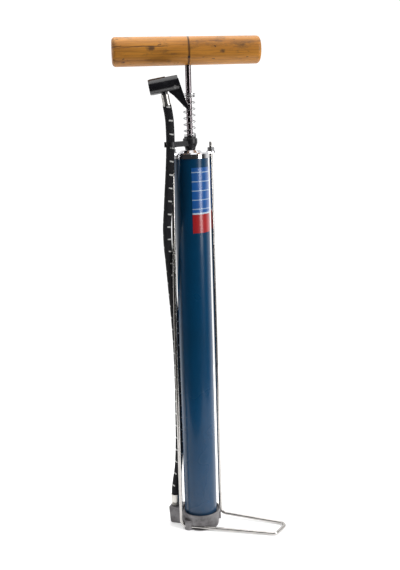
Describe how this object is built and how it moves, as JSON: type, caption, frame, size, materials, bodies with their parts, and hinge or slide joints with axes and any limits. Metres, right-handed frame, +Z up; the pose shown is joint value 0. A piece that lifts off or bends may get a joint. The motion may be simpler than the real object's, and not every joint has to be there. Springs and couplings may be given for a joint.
{
  "type": "hand_pump",
  "caption": "Upright double action hand pump: blue barrel, bent-wire foot stirrup, wooden T handle, buffer spring, braided hose with thumb-lock chuck.",
  "frame": {"origin": "middle of the base's underside, on the barrel's axis", "axes": "+Z up the barrel, +X along the foot stirrup, hose boss on the -X side"},
  "size_m": [0.1777, 0.0909, 0.5586],
  "materials": {
    "cast_alloy": "grey as-cast",
    "turned_alloy": "machined",
    "navy_paint": "glossy navy enamel",
    "cylinder_brass": "drawn tube",
    "gasket": "matt black",
    "valve_rubber": "smooth black",
    "packing_felt": "oiled felt",
    "chrome": "plated, dulled",
    "wire_chrome": "plated wire",
    "zinc": "zinc plated",
    "spring_steel": "bright wire",
    "ball_steel": "polished",
    "label_film": "printed film",
    "collar_plastic": "black moulding",
    "handle_wood": "varnished, worn",
    "dark_steel": "oxidised nail",
    "leather": "greased leather",
    "fitting_metal": "plated, worn",
    "hose_braid": "black textile braid",
    "chuck_plastic": "black moulding",
    "lever_plastic": "black moulding",
    "grommet_rubber": "soft black",
    "plunger_brass": "turned",
    "pin_steel": "bright pin"
  },
  "bodies": {
    "pump": {"base_casting": "cast_alloy", "base_gasket": "gasket", "barrel": "navy_paint", "inner_cylinder": "cylinder_brass", "cylinder_head": "turned_alloy", "head_gasket": "gasket", "rod_packing": "packing_felt", "top_cap": "chrome", "tie_wire": "wire_chrome", "tie_nuts": "zinc", "tie_washers": "zinc", "label": "label_film", "guide_collar": "collar_plastic", "buffer_spring": "spring_steel", "inlet_flap": "valve_rubber", "flap_rivet": "zinc", "head_flap": "valve_rubber", "outlet_spring": "spring_steel", "transfer_sleeve": "gasket", "hose_nipple": "fitting_metal", "hose_ferrule": "fitting_metal", "hose": "hose_braid", "chuck_nipple": "fitting_metal", "chuck_body": "chuck_plastic", "chuck_nozzle": "chuck_plastic", "chuck_grommet": "grommet_rubber", "chuck_plunger": "plunger_brass", "lever_pin": "pin_steel"},
    "piston": {"piston_disc_upper": "turned_alloy", "piston_disc_lower": "turned_alloy", "piston_spacer": "turned_alloy", "leather_cup_upper": "leather", "leather_cup_lower": "leather"},
    "plunger": {"piston_rod": "chrome", "handle": "handle_wood", "handle_pin": "dark_steel", "piston_washer": "zinc", "piston_nut": "zinc"},
    "buffer": {"buffer_washer": "zinc"},
    "lever": {"thumb_lever": "lever_plastic"},
    "outlet_valve": {"outlet_ball": "ball_steel"}
  },
  "joints": [
    {"name": "plunger_slide", "type": "slide", "parent": "pump", "child": "piston", "axis": [0, 0, 1], "range_m": [-0.006, 0.3]},
    {"name": "handle_swivel", "type": "hinge", "parent": "piston", "child": "plunger", "pos_m": [0, 0, 0.5434], "axis": [0, 0, 1], "continuous": true},
    {"name": "buffer_squeeze", "type": "slide", "parent": "pump", "child": "buffer", "axis": [0, 0, 1], "range_m": [-0.022, 0], "stiffness_N_per_m": 400, "deforming": ["buffer_spring"]},
    {"name": "thumb_lever_pivot", "type": "hinge", "parent": "pump", "child": "lever", "pos_m": [-0.00577, -0.02638, 0.50602], "axis": [0.3007, -0.9537, 0], "range_deg": [0, 90]},
    {"name": "outlet_ball_lift", "type": "slide", "parent": "pump", "child": "outlet_valve", "axis": [0, 0, 1], "range_m": [0, 0.0012], "stiffness_N_per_m": 60, "deforming": ["outlet_spring"]}
  ]
}
